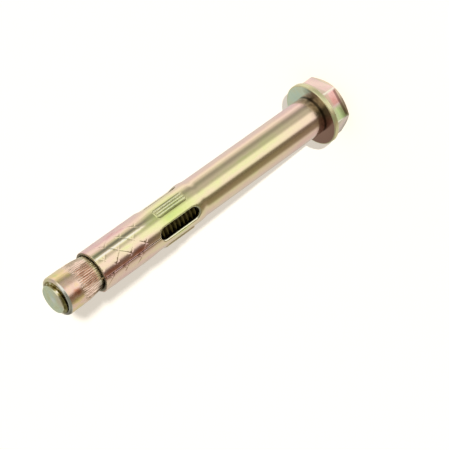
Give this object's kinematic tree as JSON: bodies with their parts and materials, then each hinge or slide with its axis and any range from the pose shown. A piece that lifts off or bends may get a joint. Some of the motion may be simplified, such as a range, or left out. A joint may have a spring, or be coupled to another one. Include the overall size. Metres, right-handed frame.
{
  "type": "sleeve anchor bolt",
  "caption": "Hex-head sleeve anchor: threaded bolt, flat washer, slotted expansion sleeve and knurled cone nut that the bolt draws in.",
  "frame": {"origin": "centre of the hex head's flat end, on which the anchor stands", "axes": "+Z along the bolt from the head to the nose; one sleeve slot faces +X"},
  "size_m": [0.0196, 0.0196, 0.1076],
  "materials": {
    "plated_bolt": "yellow zinc plate",
    "plated_washer": "yellow zinc plate",
    "plated_sleeve": "yellow zinc plate",
    "plated_nut": "yellow zinc plate"
  },
  "bodies": {
    "sleeve": {"expansion_sleeve": "plated_sleeve"},
    "bolt": {"hex_bolt": "plated_bolt"},
    "washer": {"flat_washer": "plated_washer"},
    "nut": {"cone_nut": "plated_nut"}
  },
  "joints": [
    {"name": "bolt_turn", "type": "hinge", "parent": "sleeve", "child": "bolt", "pos_m": [0, 0, 0], "axis": [0, 0, 1], "range_deg": [-2880, 144]},
    {"name": "nut_travel", "type": "slide", "parent": "sleeve", "child": "nut", "axis": [0, 0, 1], "range_m": [-0.00061, 0.01201]},
    {"name": "washer_spin", "type": "hinge", "parent": "bolt", "child": "washer", "pos_m": [0, 0, 0], "axis": [0, 0, 1], "continuous": true}
  ],
  "couplings": [
    {"joint": "nut_travel", "follows": "bolt_turn", "m_per_rad": -0.00023873}
  ]
}
